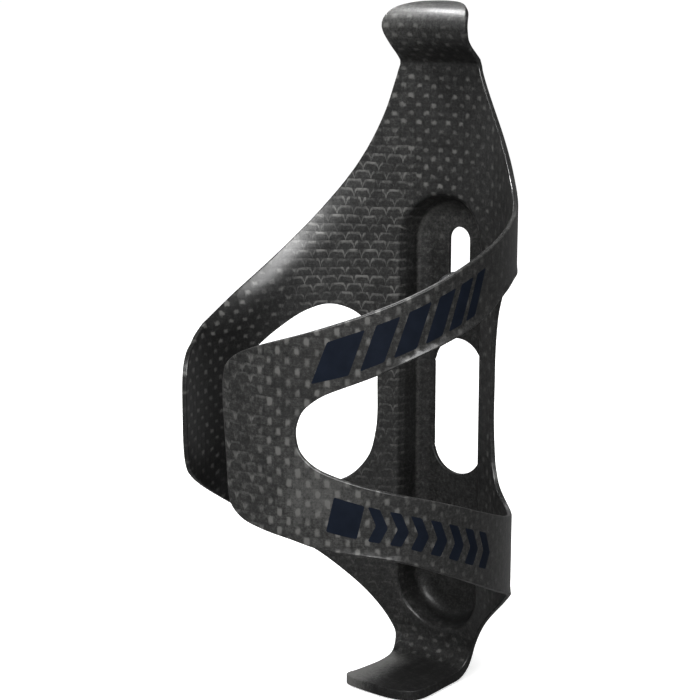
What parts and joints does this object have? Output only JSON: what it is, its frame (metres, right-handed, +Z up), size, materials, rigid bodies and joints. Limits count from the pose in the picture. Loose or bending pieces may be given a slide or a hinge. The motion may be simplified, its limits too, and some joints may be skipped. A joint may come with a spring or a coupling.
{
  "type": "water bottle cage",
  "caption": "Side-entry bicycle bottle cage: thin carbon wall with a recessed mounting pan, a wing arm, a two-band front loop, a top tongue and a bottom shelf.",
  "frame": {"origin": "on the flat mounting face at the back of the mounting pan, 10 mm above the lower bolt's axis and midway across the cage", "axes": "+Z up along the bottle's axis, +Y into the bike frame out of the mounting face, +X to the side of the front loop's root"},
  "size_m": [0.0758, 0.0921, 0.162],
  "materials": {
    "carbon": "satin clear coat over plain-weave carbon fibre",
    "film": "satin printed film under the clear coat",
    "steel": "stainless, turned"
  },
  "bodies": {
    "cage": {"back_wall": "carbon", "mounting_pan": "carbon", "shelf": "carbon", "lower_washer": "steel"},
    "wing": {"wing_upper_strut": "carbon", "wing_lower_strut": "carbon", "wing_panel": "carbon"},
    "loop": {"loop_upper_band": "carbon", "loop_lower_band": "carbon", "loop_end_plate": "carbon", "upper_label": "film", "lower_label": "film"},
    "tongue": {"tongue": "carbon"},
    "upper_washer": {"upper_washer": "steel"},
    "upper_bolt": {"upper_bolt": "steel"},
    "lower_bolt": {"lower_bolt": "steel"}
  },
  "joints": [
    {"name": "wing_flex", "type": "hinge", "parent": "cage", "child": "wing", "pos_m": [-0.01684, -0.01114, 0.028], "axis": [0, 0, -1], "range_deg": [0, 6], "stiffness_Nm_per_rad": 4},
    {"name": "loop_flex", "type": "hinge", "parent": "cage", "child": "loop", "pos_m": [0.01767, -0.01158, 0.038], "axis": [0, 0, 1], "range_deg": [0, 6], "stiffness_Nm_per_rad": 4},
    {"name": "tongue_flex", "type": "hinge", "parent": "cage", "child": "tongue", "pos_m": [0, -0.0098, 0.1085], "axis": [-1, 0, 0], "range_deg": [0, 5], "stiffness_Nm_per_rad": 1.5},
    {"name": "upper_bolt_slide", "type": "slide", "parent": "cage", "child": "upper_washer", "axis": [0, 0, 1], "range_m": [-0.004, 0.0124]},
    {"name": "upper_bolt_turn", "type": "hinge", "parent": "upper_washer", "child": "upper_bolt", "pos_m": [0, -0.002, 0.054], "axis": [0, 1, 0], "continuous": true},
    {"name": "lower_bolt_turn", "type": "hinge", "parent": "cage", "child": "lower_bolt", "pos_m": [0, -0.002, -0.01], "axis": [0, 1, 0], "continuous": true}
  ]
}
